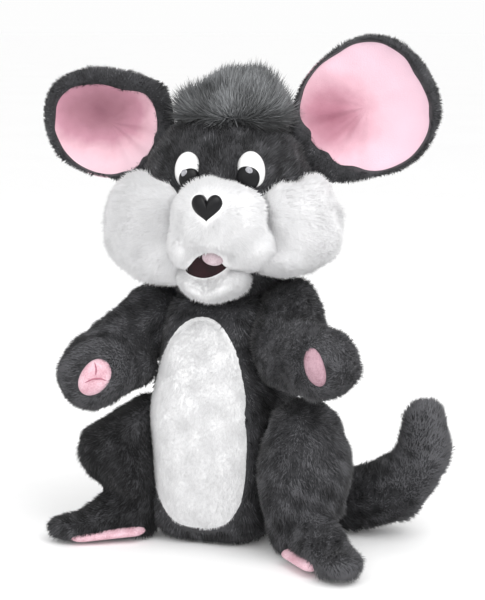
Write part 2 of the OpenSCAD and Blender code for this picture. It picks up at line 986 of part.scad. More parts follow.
module ear_hollow(c, h, forward) {
    ellipsoid(c + [0, -7 - forward, 0], [h[0] - 3.5, h[1], h[2] - 3.5]);
}

module ear(c, h, root, side) {
    color(fur_grey) head_place() soft()
    difference() {
        ear_blank(c, h, root);
        ear_hollow(c, h, 0);
        skull(0);
        cheek_solid(side);
        tuft_solid();
    }
}

module ear_lining(c, h, root, side) {
    color(plush_pink) head_place() soft()
    difference() {
        intersection() {
            ear_blank(c, h, root);
            ear_hollow(c, h, 0);
        }
        ear_hollow(c, h, ear_lining_t);
        skull(0);
        cheek_solid(side);
        tuft_solid();
    }
}

module ear_l() {
    ear(ear_l_c, ear_l_h, ear_l_root, 1);
}

module ear_r() {
    ear(ear_r_c, ear_r_h, ear_r_root, -1);
}

module ear_lining_l() {
    ear_lining(ear_l_c, ear_l_h, ear_l_root, 1);
}

module ear_lining_r() {
    ear_lining(ear_r_c, ear_r_h, ear_r_root, -1);
}

module tuft_solid() {
    hull() {
        ellipsoid([5, -4, 221], [31, 23, 16]);
        ellipsoid([9, -4, 234], [21, 16, 11]);
    }
}

module tuft() {
    color(tuft_grey) head_place() soft()
    difference() {
        tuft_solid();
        skull(0);
    }
}

torso_skin();
torso_stuffing();
belly_panel();
leg_l();
leg_r();
sole_l();
sole_r();
tail();
housing_front();
housing_rear();
housing_screws();
front_plate();
rear_plate();
plate_pillars();
neck_bearing();
shoulder_disc_l();
shoulder_disc_r();
key_grommet();
winding_key();
winding_arbor();
ratchet_wheel();
click();
spring_barrel();
barrel_lid();
mainspring();
second_arbor();
second_wheel();
crank_disc();
third_arbor();
third_wheel();
fly_arbor();
fly_fan();
neck_spindle();
head_fork();
head_core();
head_skin();
head_stuffing();
muzzle();
chin();
cheek_l();
cheek_r();
mouth_lining();
nose();
eye_l();
eye_r();
pupil_l();
pupil_r();
ear_l();
ear_r();
ear_lining_l();
ear_lining_r();
tuft();
arm_l();
arm_r();
palm_l();
palm_r();
arm_disc_l();
arm_disc_r();
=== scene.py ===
"""A seated plush mouse with a wind-up movement: its covers, pile, face, pads and hard parts.

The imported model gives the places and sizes, and details are drawn from them in millimetres, which
MM turns into metres. The head is turned by HEAD_TURN, so its pieces are drawn in axes of their
own: across, forward and up.
"""

import json
import math

import bmesh
import bpy
import numpy as np
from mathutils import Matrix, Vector
from mathutils.bvhtree import BVHTree
from mathutils.kdtree import KDTree

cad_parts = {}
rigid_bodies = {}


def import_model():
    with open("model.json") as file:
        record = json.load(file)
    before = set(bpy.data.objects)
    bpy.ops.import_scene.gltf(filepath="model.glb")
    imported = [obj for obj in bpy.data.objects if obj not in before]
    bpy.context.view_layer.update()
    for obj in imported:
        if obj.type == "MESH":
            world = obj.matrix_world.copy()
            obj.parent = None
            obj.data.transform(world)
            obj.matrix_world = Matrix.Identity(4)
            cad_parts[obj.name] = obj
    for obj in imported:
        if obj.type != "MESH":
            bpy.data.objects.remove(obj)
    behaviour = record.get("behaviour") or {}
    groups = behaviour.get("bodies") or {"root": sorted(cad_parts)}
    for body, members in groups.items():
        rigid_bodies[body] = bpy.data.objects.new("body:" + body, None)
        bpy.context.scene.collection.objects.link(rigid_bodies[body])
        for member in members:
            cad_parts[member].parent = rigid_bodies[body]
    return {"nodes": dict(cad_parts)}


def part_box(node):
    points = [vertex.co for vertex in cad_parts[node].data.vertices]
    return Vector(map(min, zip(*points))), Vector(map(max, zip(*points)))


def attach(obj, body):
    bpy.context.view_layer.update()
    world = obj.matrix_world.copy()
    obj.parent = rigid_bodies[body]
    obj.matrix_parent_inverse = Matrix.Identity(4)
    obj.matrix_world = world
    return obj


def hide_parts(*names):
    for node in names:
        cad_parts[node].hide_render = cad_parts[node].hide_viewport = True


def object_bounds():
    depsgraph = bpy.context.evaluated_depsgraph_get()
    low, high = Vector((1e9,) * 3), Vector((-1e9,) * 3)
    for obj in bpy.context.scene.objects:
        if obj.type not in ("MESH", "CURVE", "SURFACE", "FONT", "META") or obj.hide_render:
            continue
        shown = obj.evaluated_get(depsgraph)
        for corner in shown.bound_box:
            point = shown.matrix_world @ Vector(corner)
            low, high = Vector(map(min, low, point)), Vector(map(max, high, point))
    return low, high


for old in list(bpy.data.objects):
    bpy.data.objects.remove(old)
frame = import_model()
CAD_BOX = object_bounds()

MM = 0.001
WELD = 0.01
HEAD_TURN = math.radians(12)
ACROSS = np.array([math.cos(HEAD_TURN), math.sin(HEAD_TURN), 0.0])
FORWARD = np.array([math.sin(HEAD_TURN), -math.cos(HEAD_TURN), 0.0])
UP = np.array([0.0, 0.0, 1.0])
DOWN = -UP
FLOOR_GAP = 0.3  # a cover rests this far above the floor
BELLY_GROWTH = 1.05
EAR_BEND = 2.0
# FLAT keeps the painted shade of an ear lining from changing in the forward direction.
FLAT = 10000  # so large a scale that the shade of a lining ignores that direction
ARM_BODY = {"l": "left_arm", "r": "right_arm"}


# ---- Places ----

def corners(node):
    """Lowest and highest corner of a CAD node, in millimetres."""
    low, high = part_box(node)
    return np.array(low) / MM, np.array(high) / MM


def middle(node):
    low, high = corners(node)
    return (low + high) / 2


def turned(across, forward, up):
    """A place given along the head's own axes."""
    return across * ACROSS + forward * FORWARD + up * UP


def unit(vectors):
    return vectors / np.maximum(np.linalg.norm(vectors, axis=-1, keepdims=True), 1e-9)


def ease(t):
    t = np.clip(t, 0.0, 1.0)
    return t * t * (3 - 2 * t)


def drift(points, size, seed, waves=7):
    """Smooth noise from about -1 to 1 that changes over `size` millimetres."""
    rng = np.random.default_rng(seed)
    total = np.zeros(len(points))
    for _ in range(waves):
        direction = unit(rng.normal(size=3)) * 2 * math.pi / (size * rng.uniform(0.7, 1.6))
        total += np.sin(points @ direction + rng.uniform(0, 2 * math.pi))
    return total / math.sqrt(waves)


# ---- Materials ----

def new_material(name):
    mat = bpy.data.materials.new(name)
    mat.use_nodes = True
    tree = mat.node_tree
    return mat, tree.nodes, tree.links, tree.nodes["Principled BSDF"]


def noise_node(nodes, links, size, detail, stretch=(1, 1, 1)):
    """A noise texture over the object's own coordinates whose patches are `size` mm wide."""
    where = nodes.new("ShaderNodeTexCoord")
    scale = nodes.new("ShaderNodeMapping")
    scale.inputs["Scale"].default_value = stretch
    texture = nodes.new("ShaderNodeTexNoise")
    texture.inputs["Scale"].default_value = 1 / (size * MM)
    texture.inputs["Detail"].default_value = detail
    links.new(where.outputs["Object"], scale.inputs["Vector"])
    links.new(scale.outputs["Vector"], texture.inputs["Vector"])
    return texture.outputs["Fac"]


def ramp_node(nodes, links, value, stops):
    ramp = nodes.new("ShaderNodeValToRGB")
    while len(ramp.color_ramp.elements) < len(stops):
        ramp.color_ramp.elements.new(0.5)
    for element, (place, colour) in zip(ramp.color_ramp.elements, stops):
        element.position = place
        element.color = (*colour, 1)
    links.new(value, ramp.inputs["Fac"])
    return ramp.outputs["Color"]


def scaled_node(nodes, links, value, factor, plus):
    """A value times a factor, plus a number or what another node gives."""
    node = nodes.new("ShaderNodeMath")
    node.operation = "MULTIPLY_ADD"
    node.inputs[1].default_value = factor
    links.new(value, node.inputs[0])
    if isinstance(plus, float):
        node.inputs[2].default_value = plus
    else:
        links.new(plus, node.inputs[2])
    return node.outputs[0]


def add_relief(nodes, links, shader, grain, strength):
    """Raises a surface where its grain is high."""
    relief = nodes.new("ShaderNodeBump")
    relief.inputs["Strength"].default_value = strength
    relief.inputs["Distance"].default_value = 0.4 * MM
    links.new(grain, relief.inputs["Height"])
    links.new(relief.outputs["Normal"], shader.inputs["Normal"])


def surface(name, dark, light, patch, grain, roughness, bump, stretch=(1, 1, 1), **settings):
    """Two colours mixed in patches, with a grain in the colour, the roughness and the bump."""
    mat, nodes, links, shader = new_material(name)
    patches = noise_node(nodes, links, patch, 3, stretch)
    fine = noise_node(nodes, links, grain, 4, stretch)
    mix = scaled_node(nodes, links, fine, 0.45, scaled_node(nodes, links, patches, 0.55, 0.0))
    colour = ramp_node(nodes, links, mix, [(0.36, dark), (0.64, light)])
    links.new(colour, shader.inputs["Base Color"])
    spread = nodes.new("ShaderNodeMapRange")
    spread.inputs["To Min"].default_value = roughness[0]
    spread.inputs["To Max"].default_value = roughness[1]
    links.new(fine, spread.inputs["Value"])
    links.new(spread.outputs["Result"], shader.inputs["Roughness"])
    add_relief(nodes, links, shader, fine, bump)
    for socket, value in settings.items():
        shader.inputs[socket.replace("_", " ")].default_value = value
    return mat


def velour_with_painted_shade(name, painted_shade_middle, size, colours):
    """Velour with painted shade: deepest at one place and paler across and above it, over size
    millimetres.
    """
    mat, nodes, links, shader = new_material(name)
    where = nodes.new("ShaderNodeTexCoord")
    away = nodes.new("ShaderNodeMapping")
    away.vector_type = "TEXTURE"
    away.inputs["Location"].default_value = painted_shade_middle * MM
    away.inputs["Rotation"].default_value = (0, 0, HEAD_TURN)
    away.inputs["Scale"].default_value = (size[0] * MM, FLAT, size[1] * MM)
    links.new(where.outputs["Object"], away.inputs["Vector"])
    length = nodes.new("ShaderNodeVectorMath")
    length.operation = "LENGTH"
    links.new(away.outputs["Vector"], length.inputs[0])
    mottled = scaled_node(
        nodes, links, noise_node(nodes, links, 9, 3), 0.5, length.outputs["Value"]
    )
    shade = scaled_node(nodes, links, mottled, 0.5, -0.12)
    stops = list(zip((0.05, 0.3, 0.5, 0.7, 0.95), colours))
    links.new(ramp_node(nodes, links, shade, stops), shader.inputs["Base Color"])
    add_relief(nodes, links, shader, noise_node(nodes, links, 0.7, 4), 0.5)
    shader.inputs["Roughness"].default_value = 0.9
    return mat


def pile_tones(name, colours, sheen):
    """One material per tone of a pile: each strand takes one of them, by its dye and, on some
    piles, by painted shade.
    """
    tones = []
    for step, colour in enumerate(colours):
        mat, _, _, shader = new_material(f"{name}_tone_{step}")
        shader.inputs["Base Color"].default_value = (*colour, 1)
        shader.inputs["Roughness"].default_value = 0.85
        shader.inputs["Specular IOR Level"].default_value = 0.25
        shader.inputs["Sheen Weight"].default_value = sheen
        shader.inputs["Sheen Roughness"].default_value = 0.5
        tones.append(mat)
    return tones


def greys(levels, tint=(1.0, 1.0, 1.07)):
    return [tuple(level * part for part in tint) for level in levels]


GREY_TONES = pile_tones("grey_pile", greys([0.010, 0.019, 0.032, 0.052, 0.085, 0.14]), 0.10)
TUFT_TONES = pile_tones(
    "tuft_pile", greys([0.04, 0.075, 0.12, 0.19, 0.28], (0.97, 1.0, 1.03)), 0.15
)
WHITE_TONES = pile_tones("white_pile", greys([0.78, 0.84, 0.89, 0.94], (0.99, 0.99, 1.0)), 0.10)
GREY, WHITE = ("plush_grey", GREY_TONES), ("plush_white", WHITE_TONES)

SURFACES = {
    "plush_grey": surface(
        "grey_backing", (0.014, 0.014, 0.016), (0.05, 0.05, 0.055), 14, 0.9, (0.8, 1), 0.6,
        Sheen_Weight=0.2,
    ),
    "plush_white": surface(
        "white_backing", (0.80, 0.80, 0.81), (0.88, 0.88, 0.88), 12, 0.9, (0.8, 1), 0.5,
        Sheen_Weight=0.2,
    ),
    "plush_pink": surface(
        "pink_velour", (0.55, 0.27, 0.33), (0.82, 0.56, 0.63), 7, 0.7, (0.7, 0.95), 0.5,
        Sheen_Weight=0.2,
    ),
    "tuft_pile": surface(
        "tuft_backing", (0.03, 0.03, 0.034), (0.10, 0.10, 0.11), 9, 0.8, (0.8, 1), 0.6,
        Sheen_Weight=0.2,
    ),
    "mouth_felt": surface(
        "mouth_felt", (0.006, 0.0006, 0.0015), (0.022, 0.002, 0.005), 6, 0.6, (0.8, 1), 0.7
    ),
    "stuffing": surface(
        "stuffing", (0.70, 0.70, 0.68), (0.90, 0.90, 0.88), 8, 0.8, (0.85, 1), 1.0, Sheen_Weight=0.3
    ),
    "gloss_black": surface(
        "gloss_black", (0.002, 0.002, 0.003), (0.005, 0.005, 0.006), 5, 0.4, (0.30, 0.42), 0.03,
        Specular_IOR_Level=0.25,
    ),
    "eye_white": surface(
        "eye_white", (0.80, 0.80, 0.80), (0.88, 0.88, 0.87), 5, 0.4, (0.25, 0.4), 0.03
    ),
    "housing_plastic": surface(
        "housing_plastic", (0.70, 0.68, 0.60), (0.80, 0.78, 0.71), 9, 0.35, (0.38, 0.56), 0.12
    ),
    "nylon": surface(
        "nylon", (0.80, 0.79, 0.74), (0.90, 0.89, 0.85), 6, 0.3, (0.30, 0.48), 0.08,
        Subsurface_Weight=0.1,
    ),
    "grommet_black": surface(
        "grommet_rubber", (0.012, 0.012, 0.013), (0.03, 0.03, 0.032), 4, 0.3, (0.5, 0.75), 0.2
    ),
    "brass": surface(
        "brass", (0.46, 0.29, 0.09), (0.78, 0.57, 0.24), 5, 0.5, (0.22, 0.42), 0.06, (1, 6, 1),
        Metallic=1,
    ),
    "steel": surface(
        "steel", (0.34, 0.34, 0.36), (0.60, 0.60, 0.62), 4, 0.4, (0.18, 0.38), 0.05, (1, 6, 1),
        Metallic=1,
    ),
    "nickel": surface(
        "nickel", (0.50, 0.47, 0.43), (0.80, 0.77, 0.72), 5, 0.35, (0.10, 0.30), 0.05, (5, 1, 1),
        Metallic=1,
    ),
}
# Mauve for the patch at the top of the mouth: painted shade of the muzzle's underside.
MUZZLE_UNDERSIDE_SHADE = surface("muzzle_underside_painted_shade", (0.46, 0.33, 0.37), (0.70, 0.58, 0.62), 4, 0.5, (0.8, 1), 0.6)
GLINT = surface("eye_glint", (0.20, 0.20, 0.22), (0.42, 0.42, 0.45), 2, 0.3, (0.1, 0.2), 0.02)
# A darker copy of the pink velour: painted shade for the left palm, which faces away from the
# light.
PINK_VELOUR_IN_PAINTED_SHADE = surface(
    "pink_velour_painted_shade", (0.26, 0.14, 0.17), (0.46, 0.29, 0.34), 8, 0.7, (0.75, 0.95), 0.5
)
THREAD = surface("pink_thread", (0.34, 0.10, 0.15), (0.50, 0.20, 0.26), 2, 0.3, (0.6, 0.9), 0.5)


# ---- Meshes ----

def per_point(obj, kind):
    """One row for each of a mesh's points: its place ("co") or its direction ("normal")."""
    flat = np.empty(len(obj.data.vertices) * 3, np.float32)
    obj.data.vertices.foreach_get(kind, flat)
    return flat.reshape(-1, 3).astype(float)


def coords(obj):
    """A mesh's points, in millimetres."""
    return per_point(obj, "co") / MM


def set_coords(obj, points):
    obj.data.vertices.foreach_set("co", (points * MM).astype(np.float32).ravel())
    obj.data.update()


def new_object(name, data):
    obj = bpy.data.objects.new(name, data)
    bpy.context.scene.collection.objects.link(obj)
    return obj


def add_piece(name, points, faces, material):
    """A smooth mesh from points in millimetres."""
    mesh = bpy.data.meshes.new(name)
    mesh.from_pydata((np.asarray(points) * MM).tolist(), [], faces)
    mesh.materials.append(material)
    mesh.shade_smooth()
    mesh.update()
    return new_object(name, mesh)


def bake_modifiers(obj):
    """Turns what the modifiers make into the mesh itself."""
    seen = obj.evaluated_get(bpy.context.evaluated_depsgraph_get())
    mesh = bpy.data.meshes.new_from_object(seen)
    obj.modifiers.clear()
    obj.data = mesh
    mesh.shade_smooth()


def subdivide(obj):
    obj.modifiers.new("subdivision", "SUBSURF").levels = 1
    bake_modifiers(obj)


def hull_mesh(source):
    """The convex hull of a mesh, as a bmesh."""
    shell = bmesh.new()
    for vertex in source.vertices:
        shell.verts.new(vertex.co)
    bmesh.ops.remove_doubles(shell, verts=shell.verts[:], dist=WELD * MM)
    found = bmesh.ops.convex_hull(shell, input=shell.verts[:])
    spare = set(found["geom_interior"] + found["geom_unused"]) & set(shell.verts)
    bmesh.ops.delete(shell, geom=list(spare), context="VERTS")
    return shell


def add_ellipsoid(bm, centre, half):
    """Puts an ellipsoid, given along the head's axes, into a bmesh."""
    made = bmesh.ops.create_icosphere(bm, subdivisions=4, radius=1.0)
    for vertex in made["verts"]:
        across, forward, up = vertex.co
        place = turned(centre[0] + across * half[0], centre[1] + forward * half[1], 0)
        vertex.co = Vector((place + (centre[2] + up * half[2]) * UP) * MM)


def node_copy(name, node, hull, extra, material):
    """A copy of a CAD node, or of its convex hull, with ellipsoids put into it."""
    source = frame["nodes"][node].data
    if hull:
        whole = hull_mesh(source)
    else:
        whole = bmesh.new()
        whole.from_mesh(source)
        bmesh.ops.remove_doubles(whole, verts=whole.verts[:], dist=WELD * MM)
    for centre, half in extra:
        add_ellipsoid(whole, centre, half)
    mesh = bpy.data.meshes.new(name)
    whole.to_mesh(mesh)
    whole.free()
    mesh.materials.clear()
    mesh.materials.append(material)
    return new_object(name, mesh)


def keep_largest(obj):
    """Deletes every island but the one with the most points."""
    bm = bmesh.new()
    bm.from_mesh(obj.data)
    left, islands = set(bm.verts), []
    while left:
        island = [left.pop()]
        for vertex in island:
            near = {edge.other_vert(vertex) for edge in vertex.link_edges} & left
            left -= near
            island += near
        islands.append(island)
    largest = max(islands, key=len)
    spare = [v for island in islands if island is not largest for v in island]
    bmesh.ops.delete(bm, geom=spare, context="VERTS")
    bm.to_mesh(obj.data)
    bm.free()


def relaxed(obj, points, rounds):
    """Points after smoothing along the mesh's edges."""
    edges = np.empty(len(obj.data.edges) * 2, np.int32)
    obj.data.edges.foreach_get("vertices", edges)
    edges = edges.reshape(-1, 2)
    ends = np.concatenate([edges, edges[:, ::-1]])
    degree = np.bincount(ends[:, 0], minlength=len(points))[:, None]
    for _ in range(rounds):
        near = points[ends[:, 1]]
        total = np.stack(
            [np.bincount(ends[:, 0], near[:, k], minlength=len(points)) for k in range(3)], axis=1
        )
        points = points + 0.5 * (total / np.maximum(degree, 1) - points)
    return points


def inflate(obj, cap, steps=16, pressure=4.0):
    """Blows a closed cover up as its stuffing does. No point moves further than cap millimetres."""
    scene = bpy.context.scene
    before = coords(obj)
    cloth = obj.modifiers.new("stuffing", "CLOTH")
    cloth.settings.use_pressure = True
    cloth.settings.uniform_pressure_force = pressure
    cloth.settings.effector_weights.gravity = 0
    cloth.settings.quality = 4
    cloth.point_cache.frame_start = 1
    cloth.point_cache.frame_end = steps
    for step in range(1, steps + 1):
        scene.frame_set(step)
    bake_modifiers(obj)
    scene.frame_set(1)
    move = coords(obj) - before
    far = np.linalg.norm(move, axis=1, keepdims=True)
    move *= np.minimum(1.0, cap / np.maximum(far, 1e-6))
    set_coords(obj, before + relaxed(obj, move, 4))


def cover(name, node, material, voxel, rounds, swell, cap, lumps=0.5, hull=False, extra=()):
    """A stuffed cover in the space of its CAD node: one closed, rounded and lumpy form."""
    obj = node_copy(name, node, hull, extra, material)
    remesh = obj.modifiers.new("voxels", "REMESH")
    remesh.mode = "VOXEL"
    remesh.voxel_size = voxel * MM
    bake_modifiers(obj)
    keep_largest(obj)
    set_coords(obj, relaxed(obj, coords(obj), rounds))
    if cap:
        inflate(obj, cap)
    points = coords(obj)
    bulge = swell + lumps * drift(points, 24, len(name))
    set_coords(obj, points + per_point(obj, "normal") * bulge[:, None])
    return obj


def sculpt(obj, centre, radius, push):
    """Moves the points near a place by push, fading out at radius."""
    points = coords(obj)
    near = ease(1 - np.linalg.norm(points - centre, axis=1) / radius)
    set_coords(obj, points + near[:, None] * push)


def rest_on_floor(obj):
    """Flattens what would sink through the floor, as the seated toy's own weight does."""
    points = coords(obj)
    points[:, 2] = np.maximum(points[:, 2], FLOOR_GAP)
    set_coords(obj, points)


def stay_above(obj, node, depth):
    """Lifts points that lie deeper than depth under a convex CAD node's outer face."""
    shell = hull_mesh(frame["nodes"][node].data)
    shell.normal_update()
    tree = BVHTree.FromBMesh(shell)
    points = coords(obj)
    for index, point in enumerate(points):
        spot, normal, _, _ = tree.find_nearest(Vector(point * MM))
        under = -(Vector(point * MM) - spot).dot(normal) / MM
        if under > depth:
            points[index] += np.array(normal) * (under - depth)
    shell.free()
    set_coords(obj, points)


def tree_of(obj):
    mesh = obj.data
    points = [v.co.copy() for v in mesh.vertices]
    return BVHTree.FromPolygons(points, [tuple(p.vertices) for p in mesh.polygons])


def inside(points, obj, margin):
    """Which points, in millimetres, lie in a closed piece or within margin of it."""
    low, high = coords(obj).min(0) - margin, coords(obj).max(0) + margin
    found = np.zeros(len(points), bool)
    near = np.nonzero(np.all((points > low) & (points < high), axis=1))[0]
    if not len(near):
        return found
    tree = tree_of(obj)
    for index in near:
        point = Vector(points[index] * MM)
        spot, normal, _, _ = tree.find_nearest(point)
        found[index] = (point - spot).dot(normal) < margin * MM
    return found


# ---- Pile: closed, pointed strands that stand on a cover ----

SHORT_STRAND = [(0, 2, 1), (0, 1, 3), (1, 2, 3), (2, 0, 3)]
LONG_STRAND = [
    (0, 2, 1), (0, 1, 4), (0, 4, 3), (1, 2, 5), (1, 5, 4), (2, 0, 3), (2, 3, 5),
    (3, 4, 6), (4, 5, 6), (5, 3, 6),
]
MOST_SHORT = 48000
MOST_LONG = 19000


def scatter(obj, density, most, rng, keep):
    """Roots spread evenly over a cover, with the surface's direction at each."""
    mesh = obj.data
    mesh.calc_loop_triangles()
    tris = np.empty(len(mesh.loop_triangles) * 3, np.int32)
    mesh.loop_triangles.foreach_get("vertices", tris)
    tris = tris.reshape(-1, 3)
    points, outward = coords(obj), per_point(obj, "normal")
    a, b, c = (points[tris[:, k]] for k in range(3))
    area = np.linalg.norm(np.cross(b - a, c - a), axis=1) / 2
    weight = area * keep((a + b + c) / 3, unit(outward[tris].sum(1)))
    count = int(min(most, density * weight.sum()))
    pick = rng.choice(len(tris), count, p=weight / weight.sum())
    u, v = rng.random((2, count))
    over = u + v > 1
    u[over], v[over] = 1 - u[over], 1 - v[over]
    share = np.stack([1 - u - v, u, v], axis=1)[:, :, None]
    roots = (points[tris[pick]] * share).sum(1)
    return roots, unit((outward[tris[pick]] * share).sum(1))


def gather(tips, roots, size, share, rng):
    """Pulls tips towards the middle of their lock, so that long pile falls in locks."""
    seeds = roots[rng.choice(len(roots), max(4, len(roots) // size), replace=False)]
    tree = KDTree(len(seeds))
    for index, seed in enumerate(seeds):
        tree.insert(seed, index)
    tree.balance()
    owner = np.array([tree.find(root)[1] for root in roots])
    count = np.maximum(np.bincount(owner, minlength=len(seeds)), 1)[:, None]
    centre = np.stack(
        [np.bincount(owner, tips[:, k], minlength=len(seeds)) for k in range(3)], axis=1
    ) / count
    return tips + share * (centre[owner] - tips)


def strand_mesh(name, points, outward, pattern, tones, choice):
    """A mesh of many equal strands. points holds each strand's own points in order."""
    strands, size, _ = points.shape
    faces = np.array(pattern)[None] + (np.arange(strands) * size)[:, None, None]
    mesh = bpy.data.meshes.new(name)
    mesh.vertices.add(strands * size)
    mesh.vertices.foreach_set("co", (points * MM).astype(np.float32).ravel())
    mesh.loops.add(faces.size)
    mesh.loops.foreach_set("vertex_index", faces.astype(np.int32).ravel())
    mesh.polygons.add(faces.size // 3)
    mesh.polygons.foreach_set("loop_start", np.arange(0, faces.size, 3, dtype=np.int32))
    for tone in tones:
        mesh.materials.append(tone)
    mesh.polygons.foreach_set("material_index", np.repeat(choice, len(pattern)).astype(np.int32))
    mesh.update(calc_edges=True)
    mesh.normals_split_custom_set_from_vertices(outward.reshape(-1, 3).astype(np.float32))
    return new_object(name, mesh)


def grow(
    name, on, body, slot, tones, length, comb, seed, keep, clear_of, density=2.2,
    width=0.6, lie=0.55, spread=0.14, long_hair=False, lock=0.0,
    tone_shift=0.0, tone_noise=0.15, tone_drift=0.17, patch=9.0, waves=0.16,
):
    """Covers a piece with pile, brushed as comb says and only where keep says."""
    rng = np.random.default_rng(seed)
    most = MOST_LONG if long_hair else MOST_SHORT
    roots, outward = scatter(on, density, most, rng, keep)
    blocked = np.zeros(len(roots), bool)
    for other in clear_of:
        blocked |= inside(roots, other, 0.3)
    roots, outward = roots[~blocked], outward[~blocked]
    count = len(roots)
    along = comb(roots)
    along = unit(along - (along * outward).sum(1, keepdims=True) * outward)
    sway = np.stack([drift(roots, 16, seed + k) for k in range(3)], axis=1)
    way = unit(
        outward * (1 - lie) + along * lie + waves * sway + rng.normal(0, spread, (count, 3))
    )
    way = unit(way + outward * np.maximum(0, 0.15 - (way * outward).sum(1, keepdims=True)))
    reach = length * rng.uniform(0.65, 1.25, count) * (1 + 0.22 * drift(roots, 11, seed + 5))
    side = unit(np.cross(way, unit(rng.normal(size=(count, 3)))))
    other = np.cross(way, side)
    turns = [2 * math.pi * k / 3 for k in range(3)]
    ring = [side * math.cos(t) + other * math.sin(t) for t in turns]
    base = [roots - outward * 0.4 + part * width / 2 for part in ring]
    if long_hair:
        mid = roots + way * (reach / 2)[:, None]
        tips = gather(roots + way * reach[:, None], roots, 14, lock, rng)
        mid = mid + (tips - mid) * lock * 0.25
        rings = base + [mid + part * width * 0.36 for part in ring] + [tips]
        sides = ring + ring + [np.zeros_like(way)]
        pattern = LONG_STRAND
    else:
        tips = roots + way * reach[:, None]
        rings = base + [tips]
        sides = ring + [np.zeros_like(way)]
        pattern = SHORT_STRAND
    points = np.stack(rings, axis=1)
    points[:, :, 2] = np.maximum(points[:, :, 2], 0.2)
    facing = unit(outward[:, None] * 0.8 + np.stack(sides, axis=1) * 0.35)
    # tone_shift moves strands to paler or darker tones; on several piles it holds painted shade and
    # light.
    shift = tone_shift(roots) if callable(tone_shift) else tone_shift
    level = 0.5 + tone_drift * drift(roots, patch, seed + 9) + rng.normal(0, tone_noise, count)
    choice = np.clip(((level + shift) * len(tones)).astype(int), 0, len(tones) - 1)
    return settle(strand_mesh(name, points, facing, pattern, tones, choice), body, slot)


def toward(place, drop=0.0):
    return lambda points: unit(place - points) + drop * DOWN


def away_from(place, lean=DOWN, share=0.0):
    return lambda points: unit(points - place) + lean * share


def downward(points):
    return np.tile(DOWN, (len(points), 1))


# ---- Rings: pieces drawn as closed outlines, one inside the other ----

def loft(name, rings, material):
    """A closed surface through rings of equally many points, from one cap to the other."""
    count = len(rings[0])
    points = [p for ring in rings for p in ring]
    faces = []
    for level in range(len(rings) - 1):
        for k in range(count):
            near, far = k, (k + 1) % count
            low, high = level * count, (level + 1) * count
            faces.append((low + near, low + far, high + far, high + near))
    points += [np.mean(rings[0], axis=0), np.mean(rings[-1], axis=0)]
    first, last, top = len(points) - 2, len(points) - 1, (len(rings) - 1) * count
    faces += [((k + 1) % count, k, first) for k in range(count)]
    faces += [(top + k, top + (k + 1) % count, last) for k in range(count)]
    return add_piece(name, points, faces, material)


def face_out(obj):
    """Turns all of a closed piece's faces outwards."""
    bm = bmesh.new()
    bm.from_mesh(obj.data)
    bmesh.ops.recalc_face_normals(bm, faces=bm.faces)
    bm.to_mesh(obj.data)
    bm.free()
    obj.data.update()
    return obj


def dome(name, centre, outline, height, depth, material, axes=(ACROSS, UP, FORWARD), steps=9):
    """A crowned button: outline points around centre, height in front of it, depth behind."""
    right, up, front = axes
    rings = [[centre + x * 0.9 * right + z * 0.9 * up - depth * front for x, z in outline]]
    for step in range(steps):
        angle = step / steps * math.pi / 2
        size, rise = math.cos(angle), math.sin(angle) * height
        rings.append([centre + x * size * right + z * size * up + rise * front for x, z in outline])
    return face_out(loft(name, rings, material))


def oval(half_x, half_z, tilt=0.0, count=36):
    turns = [2 * math.pi * k / count for k in range(count)]
    flat = [(half_x * math.cos(t), half_z * math.sin(t)) for t in turns]
    c, s = math.cos(tilt), math.sin(tilt)
    return [(x * c - z * s, x * s + z * c) for x, z in flat]


def around(values, angle):
    """A value for any angle, from values given at equal steps round the circle."""
    place = angle / (2 * math.pi) * len(values)
    k = int(math.floor(place))
    t = place - k
    a, b, c, d = (values[(k + j) % len(values)] for j in (-1, 0, 1, 2))
    return b + 0.5 * t * (c - a + t * (2 * a - 5 * b + 4 * c - d + t * (3 * (b - c) + d - a)))


def sewn_patch(name, material, levels, outline, proud, depth):
    """A patch on a cover. outline(t) gives the places and normals of its edge shrunk to share t."""
    front, back = [], []
    for level in range(levels, 0, -1):
        t = level / levels
        spots = outline(t)
        front.append([place + out * proud(t) for place, out in spots])
        back.insert(0, [place - out * depth for place, out in spots])
    return face_out(loft(name, back + front, material))


def settle(obj, body, slot, *nodes, fill=None):
    """Rides a piece on its body and lets it stand for CAD nodes; its slot is not used."""
    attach(obj, body)
    if nodes:
        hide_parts(*nodes)
    return obj


# ---- Body covers ----

